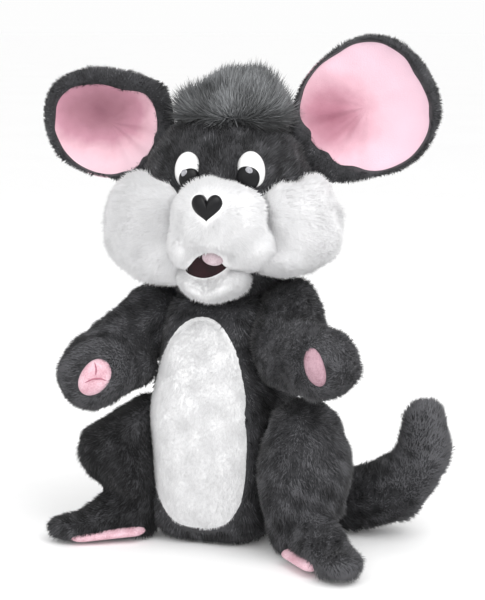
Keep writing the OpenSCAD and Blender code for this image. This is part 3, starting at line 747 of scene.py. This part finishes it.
def make_body():
    grey = SURFACES["plush_grey"]
    torso = cover("torso_cover", "torso_skin", grey, 3.0, 4, 0.6, 1.6, hull=True)
    stay_above(torso, "torso_skin", 0.6)
    rest_on_floor(torso)
    settle(torso, "torso", "plush_grey", "torso_skin", fill=0.8)
    legs = {}
    for side in "lr":
        leg = cover(f"leg_cover_{side}", f"leg_{side}", grey, 2.6, 8, 0.8, 1.6, 0.8)
        low, high = corners(f"leg_{side}")
        toe = [high[0] - 11.877, low[1] + 13.877, 22]
        if side == "r":
            toe = [low[0] + 10.877, low[1] + 11.887, 21]
            sculpt(leg, [high[0] - 8, -27, high[2]], 28, 5.0 * DOWN)
            sculpt(leg, [high[0] - 28, -24, high[2] - 10], 22, 3.0 * DOWN)
        sculpt(leg, toe, 26, 8.0 * DOWN)
        rest_on_floor(leg)
        legs[side] = settle(leg, "torso", "plush_grey", f"leg_{side}", fill=0.75)
    tail = cover("tail_cover", "tail", grey, 2.4, 8, 0.7, 1.4, 0.6)
    far_side, _, top = corners("tail")[1]
    sculpt(tail, [far_side - 30.84, 19, top - 22.383], 22, np.array([4.5, 0, -1.5]))
    sculpt(tail, [far_side - 2.84, 19, top - 48.383], 20, np.array([-3.0, 0, 2.0]))
    rest_on_floor(tail)
    settle(tail, "torso", "plush_grey", "tail", fill=0.8)
    arms = {}
    for side in "lr":
        arm = cover(f"arm_cover_{side}", f"arm_{side}", grey, 2.4, 8, 0.7, 1.4, 0.7)
        across, rise = (38, 6.5) if side == "l" else (-34, 3.5)
        sculpt(arm, [across, -1, corners(f"arm_{side}")[1][2]], 27, rise * UP)
        arms[side] = settle(arm, ARM_BODY[side], "plush_grey", f"arm_{side}", fill=0.75)
    return torso, legs, tail, arms


def front_of(tree, x, z):
    """The spot on a cover's front at this width and height, or past its edge the nearest spot."""
    spot, normal, _, _ = tree.ray_cast(Vector((x * MM, -0.2, z * MM)), Vector((0, 1, 0)))
    if spot is None:
        spot, normal, _, _ = tree.find_nearest(Vector((x * MM, -0.03, z * MM)))
    return np.array(spot) / MM, np.array(normal)


def belly_power(right, above):
    """How square the belly's outline is in each quarter: the lower corners are fuller."""
    return np.where(above, 2.0, np.where(right, 3.2, 2.4))


def belly_size():
    """The belly's middle and its half size across, in depth and in height."""
    low, high = corners("belly_panel")
    return (low + high) / 2, (high - low) / 2 * BELLY_GROWTH


def belly_share(points):
    """How far out on the belly each place is: 0 in the middle and 1 at the outline."""
    centre, half = belly_size()
    x, z = (points[:, 0] - centre[0]) / half[0], (points[:, 2] - centre[2]) / half[2]
    power = belly_power(x > 0, z > 0)
    return (np.abs(x) ** power + np.abs(z) ** power) ** (1 / power)


def belly_patch(torso):
    """The white oval sewn on the front: it follows the torso and domes a little."""
    centre, half = belly_size()
    tree = tree_of(torso)

    def outline(t):
        spots = []
        for across, up in oval(1, 1, count=56):
            power = 2 / float(belly_power(across > 0, up > 0))
            x = centre[0] + t * half[0] * math.copysign(abs(across) ** power, across)
            z = centre[2] + t * half[2] * math.copysign(abs(up) ** power, up)
            spots.append(front_of(tree, x, z))
        return spots

    patch = sewn_patch(
        "belly_patch", SURFACES["plush_white"], 12, outline, lambda t: 1.7 * (1 - t**6) - 0.5, 1.5
    )
    return settle(patch, "torso", "plush_white", "belly_panel", fill=0.3)


# Each sole: the way to the toe, how far along it sits, its size, and its height at heel and toe
SOLES = {
    "l": {"way": (0.73, -0.69), "along": 4, "reach": 9, "wide": 5.8, "low": (3.0, 2.5)},
    "r": {"way": (-0.87, -0.49), "along": 1, "reach": 13, "wide": 6.5, "low": (3.2, 0.8)},
}
SOLE_THICK = 5.4


def sole_pads():
    """Pink felt under the feet: flat rounded bars that show below the pile of the foot."""
    pads = {}
    for side, shape in SOLES.items():
        along = np.array([*shape["way"], 0.0])
        across = np.array([-along[1], along[0], 0.0])
        centre = middle(f"sole_{side}") + shape["along"] * along
        reach, wide = shape["reach"], shape["wide"]
        rings = []
        for step in range(25):
            place = -math.cos(math.pi * step / 24) * (reach + wide)
            past = max(0.0, abs(place) - reach) / wide
            round_end = math.sqrt(max(0.02, 1 - past**2))
            low = np.interp(place, (-reach - wide, reach + wide), shape["low"])
            ring = []
            for x, z in oval(1, 1, count=24):
                rise = SOLE_THICK / 2 * (1 + z * round_end)
                spot = centre + place * along + wide * x * round_end * across
                ring.append([spot[0], spot[1], low + rise])
            rings.append(ring)
        pad = face_out(loft(f"sole_pad_{side}", rings, SURFACES["plush_pink"]))
        pads[side] = settle(pad, "torso", "plush_pink", f"sole_{side}", fill=0.3)
    return pads


PALMS = {
    "l": {"turn": 2, "tilt": -18, "half": (5.4, 10.5)},
    "r": {"turn": 36, "tilt": 35, "half": (7.8, 11.0)},
}


def pad_axes(side):
    """The directions to the right along a palm and straight out of it."""
    turn = math.radians(PALMS[side]["turn"])
    facing = np.array([math.sin(turn), -math.cos(turn), 0.0])
    return np.array([math.cos(turn), math.sin(turn), 0.0]), facing


def palm_pads(arms):
    """Pink ovals that lie on the paws and dome a little."""
    pads = {}
    for side, arm in arms.items():
        right, facing = pad_axes(side)
        centre, tree = middle(f"palm_{side}"), tree_of(arm)
        edge = oval(*PALMS[side]["half"], -math.radians(PALMS[side]["tilt"]), 40)

        def outline(t):
            starts = [centre + t * (x * right + z * UP) + 30 * facing for x, z in edge]
            hits = [tree.ray_cast(Vector(start * MM), Vector(-facing)) for start in starts]
            return [(np.array(hit[0]) / MM, np.array(hit[1])) for hit in hits]

        # The left palm takes the darker copy of the pink velour: painted shade, as it faces away
        # from the light.
        felt = PINK_VELOUR_IN_PAINTED_SHADE if side == "l" else SURFACES["plush_pink"]
        pad = sewn_patch(
            f"palm_pad_{side}", felt, 9, outline, lambda t: 2.4 * (1 - t**4) - 0.3, 1.0
        )
        set_coords(pad, relaxed(pad, coords(pad), 3))
        subdivide(pad)
        pads[side] = settle(pad, ARM_BODY[side], "plush_pink", f"palm_{side}", fill=0.4)
    stitch("palm_stitch_upright", pads["r"], [(0, 8), (0.3, 5), (-0.2, 2)])
    stitch("palm_stitch_across", pads["r"], [(-5.5, -1.8), (-2, 0), (2, 0.3), (5.5, -1.2)])
    return pads


def stitch(name, pad, path):
    """A thread sewn along a path on the right palm: each place is right and up of its middle."""
    right, facing = pad_axes("r")
    centre, tree = middle("palm_r"), tree_of(pad)
    flow = unit(np.array(path[-1]) - np.array(path[0]))
    beside = -flow[1] * right + flow[0] * UP
    rings = []
    for share in np.linspace(0, 1, 15):
        x, z = (np.interp(share, np.linspace(0, 1, len(path)), axis) for axis in zip(*path))
        start = centre + x * right + z * UP + 30 * facing
        spot = np.array(tree.ray_cast(Vector(start * MM), Vector(-facing))[0]) / MM
        thick = 0.45 * math.sqrt(max(0.05, math.sin(math.pi * share)))
        rings.append([spot + a * beside + b * facing for a, b in oval(thick, thick, count=6)])
    thread = face_out(loft(name, rings, THREAD))
    settle(thread, "right_arm", "plush_pink")


# ---- Head ----

def make_head():
    grey, white = SURFACES["plush_grey"], SURFACES["plush_white"]
    head = cover("head_cover", "head_skin", grey, 3.0, 4, 0.6, 1.6, hull=True)
    stay_above(head, "head_skin", 0.6)
    settle(head, "head", "plush_grey", "head_skin", fill=0.85)
    mouth = middle("mouth_lining")
    lip = mouth[2]
    jowls = [((side * 14.5, 31, lip + 9.5), (19, 19, 15)) for side in (-1, 1)]
    muzzle = cover("muzzle_cover", "muzzle", white, 1.8, 5, 0.4, 1.2, 0.4, extra=jowls)
    chin = cover("chin_cover", "chin", white, 1.5, 5, 0.8, 0.8, 0.3)
    sculpt(muzzle, mouth + turned(-5, 7, 4), 15, turned(0, -2.0, 7.0))
    sculpt(muzzle, mouth + turned(6, 7, 3), 10, turned(0, -1.0, 3.0))
    sculpt(chin, mouth + turned(-2, 7, -2), 21, turned(0, -1.0, -9.0))
    points = coords(muzzle)
    beyond = np.maximum(-9 - points @ ACROSS, 0)
    set_coords(muzzle, points + 0.36 * beyond[:, None] * ACROSS)
    settle(muzzle, "head", "plush_white", "muzzle", fill=0.85)
    settle(chin, "head", "plush_white", "chin", fill=0.8)
    cheeks = {}
    for side in "lr":
        cheek = cover(f"cheek_cover_{side}", f"cheek_{side}", white, 2.2, 8, 0.4, 1.6, 0.8)
        points = coords(cheek)
        across = points @ ACROSS
        beyond = np.maximum(np.abs(across) - 40, 0) * np.sign(across)
        points -= 0.22 * beyond[:, None] * ACROSS
        if side == "r":
            points += 7.0 * ease((across + 42) / 16)[:, None] * ACROSS
        below = np.maximum(lip + 4 - points[:, 2], 0)
        set_coords(cheek, points + (0.42 if side == "l" else 0.18) * below[:, None] * UP)
        cheeks[side] = settle(cheek, "head", "plush_white", f"cheek_{side}", fill=0.7)
    return head, muzzle, chin, cheeks


def make_mouth():
    centre = middle("mouth_lining")
    lining = dome(
        "mouth_pocket", centre + turned(-2.5, -3, -1.5), oval(11, 11), 5.0, 3,
        SURFACES["mouth_felt"],
    )
    settle(lining, "head", "mouth_felt", "mouth_lining", fill=0.2)
    # A small mauve patch at the top of the mouth: painted shade of the muzzle's underside.
    muzzle_underside_shade_patch = dome(
        "muzzle_underside_shade_patch", centre + turned(1.2, 1.0, 2.4), oval(5.4, 3.6, -0.2), 3.4, 2, MUZZLE_UNDERSIDE_SHADE
    )
    settle(muzzle_underside_shade_patch, "head", "plush_pink")


def heart_outline(width, height, count=48):
    """A closed heart with its point down."""
    t = 2 * math.pi * np.arange(count) / count
    rise = 13 * np.cos(t) - 5 * np.cos(2 * t) - 2 * np.cos(3 * t) - np.cos(4 * t)
    line = np.stack([np.sin(t) ** 3, rise / 16], axis=1)
    for _ in range(5):
        line = (np.roll(line, 1, 0) + 2 * line + np.roll(line, -1, 0)) / 4
    line = (line - (line.min(0) + line.max(0)) / 2) / (line.max(0) - line.min(0))
    return [(x * width, z * height) for x, z in line]


def make_nose():
    centre = middle("nose")
    base = centre + FORWARD * (56.5 - centre @ FORWARD) - 1.6 * UP
    nose = dome(
        "heart_nose", base, heart_outline(15.2, 16.0), 4.2, 4, SURFACES["gloss_black"],
        (ACROSS, unit(UP + 0.12 * FORWARD), unit(FORWARD - 0.12 * UP)),
    )
    settle(nose, "head", "gloss_black", "nose")


# Each eye: half size of the white, its pupil's place and half size, and the glint's place on that
EYES = {
    "l": ((7.2, 10.2), turned(-1.0, 3.6, -2.8), (6.0, 6.8), turned(1.0, 2.4, 3.6)),
    "r": ((6.7, 9.6), turned(1.0, 3.6, -3.0), (5.0, 5.6), turned(-1.6, 2.4, 2.0)),
}


def make_eyes():
    """White ovals with a black pupil low and inward, each with a glint."""
    for side, (white, pupil_place, half, glint_place) in EYES.items():
        high = corners(f"eye_{side}")[1]
        eye_at = turned(middle(f"eye_{side}") @ ACROSS, 34.5, high[2] - 10.2)
        eye = dome(f"eye_{side}_white", eye_at, oval(*white), 5.6, 6, SURFACES["eye_white"])
        settle(eye, "head", "eye_white", f"eye_{side}")
        pupil_at = eye_at + pupil_place
        pupil = dome(
            f"pupil_{side}_button", pupil_at, oval(*half, -0.3), 3.6, 3, SURFACES["gloss_black"]
        )
        settle(pupil, "head", "gloss_black", f"pupil_{side}")
        glint = dome(
            f"pupil_{side}_glint", pupil_at + glint_place, oval(1.9, 2.3, 0.3), 0.9, 1.5, GLINT,
            steps=4,
        )
        settle(glint, "head", "eye_white")


# Outer edge and pink edge of each ear: radius every 30 degrees from the mouse's left, upwards.
# bowl is how far across, forward and up the bowl's middle lies from the middle of the CAD ear,
# and shade how far the darkest pink lies from there: painted shade in the left ear's fold and the
# right ear's bowl, whose colours run from shade to lit pink. root is the direction the pleats come
# from.
EARS = {
    "l": {
        "outer": [37.0, 36.0, 36.5, 36.5, 33.8, 34.3, 38.5, 46.0, 44.0, 36.0, 35.8, 36.5],
        "pink": [31.0, 28.5, 31.0, 33.0, 31.3, 33.0, 34.5, 31.5, 30.5, 32.0, 33.0, 33.0],
        "bowl": (3.72, -2.111, 0.0),
        "root": math.radians(215), "depth": 4.0, "shade": (-19, 0, -5), "shade_size": (20, 18),
        "colours": [
            (0.34, 0.13, 0.18), (0.48, 0.23, 0.29), (0.66, 0.39, 0.46), (0.78, 0.51, 0.59),
            (0.79, 0.55, 0.64),
        ],
    },
    "r": {
        "outer": [37.0, 37.0, 30.5, 29.0, 31.5, 34.5, 33.0, 31.0, 28.5, 27.5, 36.0, 43.0],
        "pink": [26.0, 25.5, 18.5, 18.5, 21.5, 27.0, 26.0, 26.5, 26.0, 27.0, 26.5, 26.0],
        "bowl": (-1.635, 0.493, 0.0),
        "root": math.radians(-30), "depth": 7.0, "shade": (-5, 0, 6), "shade_size": (22, 15),
        "colours": [
            (0.28, 0.12, 0.16), (0.38, 0.18, 0.23), (0.52, 0.26, 0.33), (0.76, 0.48, 0.55),
            (0.82, 0.58, 0.65),
        ],
    },
}


def ear_ring(centre, radii, size, back, count=72):
    """One ring of an ear: size times the outline, back millimetres behind the middle."""
    ring = []
    for k in range(count):
        angle = 2 * math.pi * k / count
        reach = around(radii, angle) * size
        x, z = reach * math.cos(angle), reach * math.sin(angle)
        curl = EAR_BEND * ((x / 36) ** 2 + 0.5 * (z / 36) ** 2)
        ring.append(centre + x * ACROSS + z * UP + (curl - back) * FORWARD)
    return ring


def make_ear(side):
    """A cupped ear with a thick rolled rim, and its pink lining with pleats at the root."""
    shape = EARS[side]
    outer, pink, depth = shape["outer"], shape["pink"], shape["depth"]
    centre = middle(f"ear_{side}") + turned(*shape["bowl"])
    backs = ((0.12, 9), (0.5, 8.4), (0.8, 6.4), (0.93, 3.6), (1.0, 0.0))
    rings = [ear_ring(centre, outer, size, back) for size, back in backs]
    for share, back in ((0.3, -3.0), (0.62, -3.6), (0.9, -2.2)):
        mixed = [o + (p - o) * share for o, p in zip(outer, pink)]
        rings.append(ear_ring(centre, mixed, 1.0, back))
    for size, back in ((0.98, 1.0), (0.75, depth + 0.5), (0.4, depth + 1.6), (0.12, depth + 1.9)):
        rings.append(ear_ring(centre, pink, size, back))
    ear = face_out(loft(f"ear_{side}_cover", rings, SURFACES["plush_grey"]))
    subdivide(ear)
    settle(ear, "head", "plush_grey", f"ear_{side}", fill=0.4)

    def bowl(size):
        return -1.0 + (depth + 0.6) * (1 - size**2.2)

    sizes = [1.06, 1.0, 0.92, 0.8, 0.66, 0.5, 0.34, 0.18, 0.06]
    front = [ear_ring(centre, pink, size, bowl(size)) for size in sizes]
    hidden = [ear_ring(centre, pink, size, bowl(size) + 0.9) for size in sizes[::-1]]
    # Painted shade: the lining's pink is darkest round this place and pales away from it.
    shade = centre + turned(*shape["shade"])
    velour = velour_with_painted_shade(f"ear_{side}_velour", shade, shape["shade_size"], shape["colours"])
    lining = face_out(loft(f"ear_{side}_lining", hidden + front, velour))
    points = coords(lining)
    flat = points - centre
    x, z = flat @ ACROSS, flat @ UP
    off = np.angle(np.exp(1j * (np.arctan2(z, x) - shape["root"])))
    reach = np.hypot(x, z) / 32
    pleat = np.exp(-((off / 0.75) ** 2)) * ease(reach * 1.6) * np.cos(off * 13)
    soft = 0.45 * drift(points, 15, 4)
    set_coords(lining, points + (1.3 * pleat + soft)[:, None] * FORWARD)
    subdivide(lining)
    settle(lining, "head", "plush_pink", f"ear_lining_{side}", fill=0.2)
    return ear, centre


def make_tuft():
    tuft = cover("tuft_base", "tuft", SURFACES["tuft_pile"], 2.6, 8, -1.5, 0, 0.8)
    low, high = corners("tuft")
    points = coords(tuft)
    share = (points[:, 2] - low[2]) / (high[2] - low[2])
    points[:, 2] = low[2] + 1 + share * (high[2] - low[2]) * 0.76
    set_coords(tuft, points - 0.12 * ((points - middle("tuft")) @ ACROSS)[:, None] * ACROSS)
    return settle(tuft, "head", "tuft_pile", "tuft", fill=0.5)


# ---- Coats ----

def leg_tone_and_painted_shade(roots, side):
    """Feet are paler than haunches, and the right haunch is darker: painted shade on the side away
    from the light.
    """
    foot = ease((16 - roots[:, 2]) / 10) * ease((np.abs(roots[:, 0]) - 50) / 10)
    return (-0.27 if side == "r" else 0.16) + 0.42 * foot


def arm_tone(roots, side):
    """Paws are paler than upper arms, and a dark seam crosses the right arm at its cuff."""
    paw = ease((-roots[:, 1] - 28) / 14)
    seam = 0.0
    if side == "r":
        off = np.linalg.norm(roots - middle("palm_r"), axis=1) - 24
        seam = np.exp(-((off / 2.2) ** 2))
    return 0.10 + 0.24 * paw - 0.40 * seam


def coat_body(torso, legs, tail, arms, belly, soles, palms):
    neck = corners("torso_skin")[1][2]

    def on_torso(points, outward):
        bare = (belly_share(points) < 0.97) & (points[:, 1] < 0)
        under = (points[:, 2] < 1.5) | (points[:, 2] > neck - 0.5)
        return ~(bare | under)

    def on_belly(points, outward):
        return (outward[:, 1] < -0.2) & (belly_share(points) < 0.90)

    def off_torso_side(points, outward):
        inward = -outward[:, 0] * np.sign(points[:, 0])
        return ~((inward > 0.7) & (points[:, 1] > -6))

    def above_floor(points, outward):
        return ~((points[:, 2] < 2.5) & (outward[:, 2] < -0.5))

    grow(
        "torso_pile", torso, "torso", *GREY, 3.2, downward, 11,
        keep=on_torso, clear_of=[*legs.values(), tail, *arms.values()], density=1.7,
        tone_shift=0.05,
    )
    for seed, (side, leg) in enumerate(legs.items(), 21):
        low, high = corners(f"leg_{side}")
        toe = np.array([high[0] if side == "l" else low[0], low[1], 6.0])
        grow(
            f"leg_{side}_pile", leg, "torso", *GREY, 3.2, toward(toe, 0.8), seed,
            keep=above_floor, clear_of=[torso, soles[side]],
            tone_shift=lambda roots: leg_tone_and_painted_shade(roots, side),
        )
    low, high = corners("tail")
    tip = np.array([high[0] - 8, (low[1] + high[1]) / 2, high[2] + 12])

    def along_tail(points):
        rise = ease((points[:, 0] - 62) / 30)[:, None]
        return (1 - rise) * np.array([1.0, 0, 0]) + rise * unit(tip - points)

    # Painted shade and light: the tail's pile darkens at its base and pales towards its tip.
    grow(
        "tail_pile", tail, "torso", *GREY, 3.4, along_tail, 31,
        keep=above_floor, clear_of=[torso, *legs.values()],
        tone_shift=lambda roots: -0.04 + 0.50 * ease((roots[:, 0] - 70) / 35),
    )
    for seed, (side, arm) in enumerate(arms.items(), 41):
        low, high = corners(f"arm_{side}")
        paw = np.array([high[0] if side == "l" else low[0], low[1], middle(f"palm_{side}")[2]])
        grow(
            f"arm_{side}_pile", arm, ARM_BODY[side], *GREY, 3.0, toward(paw), seed,
            keep=off_torso_side, clear_of=[torso, palms[side]],
            tone_shift=lambda roots: arm_tone(roots, side),
        )
    grow(
        "belly_pile", belly, "torso", *WHITE, 1.9, downward, 51,
        keep=on_belly, clear_of=[*legs.values(), *arms.values()], density=5.0, width=0.55, lie=0.7,
        tone_shift=0.20, tone_noise=0.08, tone_drift=0.04, waves=0.05,
    )


def coat_head(head, muzzle, chin, cheeks, tuft, ears):
    nose = middle("nose")
    mouth = middle("mouth_lining")
    floor = corners("head_skin")[0][2]
    nose_back = nose - 20 * FORWARD

    def off_neck(points, outward):
        return points[:, 2] >= floor + 1.5

    def off_mouth(points, outward):
        gap = points - (mouth + turned(-0.5, 8, 0.5))
        return (gap @ ACROSS / 11) ** 2 + (gap @ UP / 5.5) ** 2 >= 1

    blocks = [muzzle, chin, *cheeks.values(), tuft]
    pocket = bpy.data.objects["mouth_pocket"]
    eyes = [bpy.data.objects[f"eye_{side}_white"] for side in "lr"]
    grow(
        "head_pile", head, "head", *GREY, 3.2, away_from(nose_back, UP, 0.3), 61,
        keep=off_neck, clear_of=[*blocks, *eyes, *(ear for ear, _ in ears.values())], density=1.9,
        tone_shift=-0.05,
    )
    # Painted shade: the muzzle's pile takes darker tones above the nose.
    grow(
        "muzzle_pile", muzzle, "head", *WHITE, 2.6, away_from(nose, DOWN, 0.2),
        62, keep=off_mouth, clear_of=[head, pocket, bpy.data.objects["heart_nose"]], density=4.0,
        width=0.55, lie=0.65, tone_noise=0.10, tone_drift=0.08,
        tone_shift=lambda roots: 0.12 - 0.5 * ease((roots[:, 2] - nose[2] - 3) / 8),
    )
    # Painted shade: the chin's pile takes darker tones, as it lies in shade under the muzzle.
    grow(
        "chin_pile", chin, "head", *WHITE, 2.8, away_from(mouth, DOWN, 0.6), 63,
        keep=off_mouth, clear_of=[head, muzzle, pocket], density=3.6, width=0.55, tone_shift=-0.25,
    )
    for seed, (side, cheek) in enumerate(cheeks.items(), 64):
        grow(
            f"cheek_{side}_pile", cheek, "head", *WHITE, 3.5,
            away_from(nose_back, DOWN, 0.1), seed, keep=off_neck, clear_of=[head, muzzle, chin],
            density=6.0, width=0.5, lie=0.6, spread=0.2, tone_shift=0.10, tone_noise=0.10,
            tone_drift=0.08,
        )
    for seed, (side, (ear, centre)) in enumerate(ears.items(), 66):
        shape = EARS[side]

        def off_lining(points, outward):
            flat = points - centre
            x, z = flat @ ACROSS, flat @ UP
            edge = np.array([around(shape["pink"], a) for a in np.arctan2(z, x)])
            return ~((np.hypot(x, z) < edge * 1.02) & (outward @ FORWARD > 0.1))

        grow(
            f"ear_{side}_pile", ear, "head", *GREY, 1.9, away_from(centre), seed,
            keep=off_lining, clear_of=[head, tuft], density=2.0, width=0.55,
        )
    low, core = corners("tuft")[0], middle("tuft")
    hairline = core + 16 * FORWARD + (low[2] - core[2]) * UP

    def above_hairline(points, outward):
        return ~((points[:, 2] < low[2] + 3) & (points @ FORWARD > 8))

    # Painted shadow: the tuft's pile darkens towards its hairline.
    grow(
        "tuft_long_pile", tuft, "head", "tuft_pile", TUFT_TONES, 9.5, away_from(hairline, UP, 0.8),
        71, keep=above_hairline, clear_of=[head, *(ear for ear, _ in ears.values())], density=4.0,
        width=0.55, long_hair=True, lie=0.6, spread=0.2, lock=0.16, patch=14,
        tone_shift=lambda roots: 0.10 - 0.4 * ease((low[2] + 10 - roots[:, 2]) / 8),
    )


# ---- Stage ----

def make_floor():
    mat = surface(
        "floor", (0.93, 0.93, 0.93), (0.95, 0.95, 0.95), 400, 20, (0.9, 1), 0.0,
        Emission_Color=(1, 1, 1, 1), Emission_Strength=0.05,
    )
    far = 60000
    floor = add_piece(
        "floor", [(-far, -far, 0), (far, -far, 0), (far, far, 0), (-far, far, 0)],
        [(0, 1, 2, 3)], mat,
    )
    floor.location.z = CAD_BOX[0].z - 0.2 * MM


def stand_at(obj, target, azimuth, elevation, distance):
    """Puts a lamp or a camera at a distance in metres from a target, and turns it to face it."""
    a, e = math.radians(azimuth), math.radians(elevation)
    back = Vector((math.sin(a) * math.cos(e), -math.cos(a) * math.cos(e), math.sin(e)))
    obj.location = target + back * distance
    obj.rotation_mode = "QUATERNION"
    obj.rotation_quaternion = (-back).to_track_quat("-Z", "Y")


def soft_light(name, azimuth, elevation, size, power):
    """A square lamp one metre away that faces the object."""
    lamp = bpy.data.lights.new(name, "AREA")
    lamp.size = size
    lamp.energy = power
    target = (CAD_BOX[0] + CAD_BOX[1]) / 2
    stand_at(new_object(name, lamp), target, azimuth, elevation, 1.0)


def make_light():
    world = bpy.data.worlds.new("studio")
    world.use_nodes = True
    background = world.node_tree.nodes["Background"]
    background.inputs["Color"].default_value = (1, 1, 1, 1)
    background.inputs["Strength"].default_value = 0.985
    bpy.context.scene.world = world
    soft_light("key", 60, 45, 0.8, 5.5)
    soft_light("fill", 0, 30, 0.9, 2)
    bpy.context.scene.view_settings.view_transform = "Standard"


def make_camera():
    data = bpy.data.cameras.new("camera")
    data.sensor_width = 36
    data.lens = 103.9
    camera = new_object("camera", data)
    stand_at(camera, Vector((8.55, 3.1, 122)) * MM, 20, 9, 0.9)
    bpy.context.scene.camera = camera


def finish_hard_parts():
    """CAD nodes that stay get the finish of their slot."""
    for node in frame["nodes"].values():
        for slot in node.material_slots:
            if slot.material.name in SURFACES:
                slot.material = SURFACES[slot.material.name]


make_camera()
make_light()
make_floor()
finish_hard_parts()
torso, legs, tail, arms = make_body()
belly = belly_patch(torso)
soles = sole_pads()
palms = palm_pads(arms)
head, muzzle, chin, cheeks = make_head()
make_mouth()
make_nose()
make_eyes()
ears = {side: make_ear(side) for side in "lr"}
tuft = make_tuft()
coat_body(torso, legs, tail, arms, belly, soles, palms)
coat_head(head, muzzle, chin, cheeks, tuft, ears)
